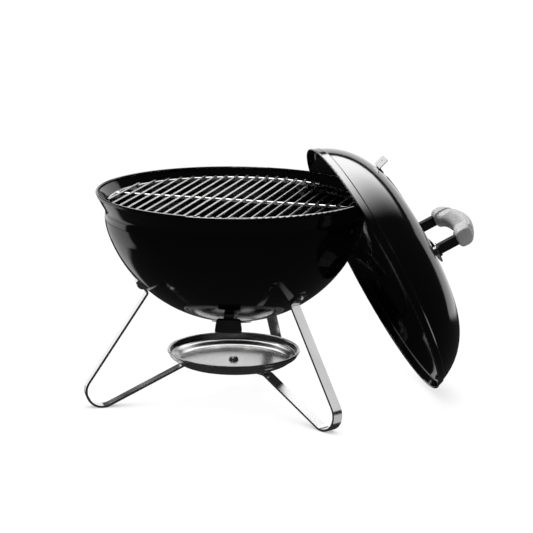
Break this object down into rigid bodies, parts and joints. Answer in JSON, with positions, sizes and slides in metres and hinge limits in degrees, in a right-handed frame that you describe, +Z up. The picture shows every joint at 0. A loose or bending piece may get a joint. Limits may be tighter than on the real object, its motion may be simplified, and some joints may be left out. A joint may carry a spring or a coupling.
{
  "type": "kettle charcoal grill",
  "caption": "Tabletop kettle charcoal grill: enamelled bowl on bent strip legs, ash pan, wire grates, turning vents and a lid that hangs from the rim",
  "frame": {"origin": "on the floor under the centre of the bowl", "axes": "+Z up; +X towards the side of the rim on which the lid hangs; +Y to the left seen along +X, the rear leg's side"},
  "size_m": [0.5364, 0.372, 0.3432],
  "materials": {
    "black_enamel": "gloss porcelain enamel on steel",
    "bright_steel": "bright plated strip",
    "plated_steel": "zinc plated",
    "fastener_steel": "zinc plated",
    "plated_wire": "plated wire",
    "coal_wire": "plain steel wire",
    "pan_aluminium": "satin",
    "damper_aluminium": "satin",
    "black_nylon": "moulded",
    "grey_grip": "moulded, ribbed"
  },
  "bodies": {
    "kettle": {"bowl": "black_enamel", "grate_tabs": "plated_steel", "leg_left": "bright_steel", "leg_front": "bright_steel", "leg_rear": "bright_steel", "leg_bolts": "fastener_steel", "leg_washers": "fastener_steel", "leg_nuts": "fastener_steel", "ash_pan": "pan_aluminium", "ash_pan_bolt": "fastener_steel", "ash_pan_washer": "fastener_steel", "ash_pan_nut": "fastener_steel", "bottom_damper_pin": "fastener_steel", "bottom_damper_cap": "fastener_steel"},
    "bottom_damper_set": {"bottom_damper": "damper_aluminium", "bottom_damper_grip": "black_nylon"},
    "cooking_grate": {"cooking_grate_ring": "plated_wire", "cooking_grate_rods": "plated_wire", "cooking_grate_bars": "plated_wire"},
    "charcoal_grate": {"charcoal_grate_ring": "coal_wire", "charcoal_grate_rods": "coal_wire", "charcoal_grate_bars": "coal_wire"},
    "lid_set": {"lid": "black_enamel", "lid_hook": "plated_steel", "lid_damper_pin": "fastener_steel", "heat_shield": "bright_steel", "handle_spacers": "plated_steel", "handle_posts": "black_nylon", "handle_grip": "grey_grip", "handle_bolts": "fastener_steel", "handle_washers": "fastener_steel"},
    "lid_damper_set": {"lid_damper": "damper_aluminium"}
  },
  "joints": [
    {"name": "bottom_damper_turn", "type": "hinge", "parent": "kettle", "child": "bottom_damper_set", "pos_m": [0, 0, 0.1155], "axis": [0, 0, 1], "range_deg": [0, 60]},
    {"name": "cooking_grate_tilt", "type": "hinge", "parent": "kettle", "child": "cooking_grate", "pos_m": [0.165, 0, 0.276], "axis": [0, 1, 0], "range_deg": [0, 18]},
    {"name": "charcoal_grate_lift", "type": "slide", "parent": "kettle", "child": "charcoal_grate", "axis": [0, 0, 1], "range_m": [0, 0.08]},
    {"name": "lid_lift", "type": "slide", "parent": "kettle", "child": "lid_set", "axis": [0, 0, 1], "range_m": [0, 0.3]},
    {"name": "lid_damper_turn", "type": "hinge", "parent": "lid_set", "child": "lid_damper_set", "pos_m": [0.21918, 0, 0.28703], "axis": [0.8181, 0, 0.5751], "range_deg": [0, 45]}
  ]
}
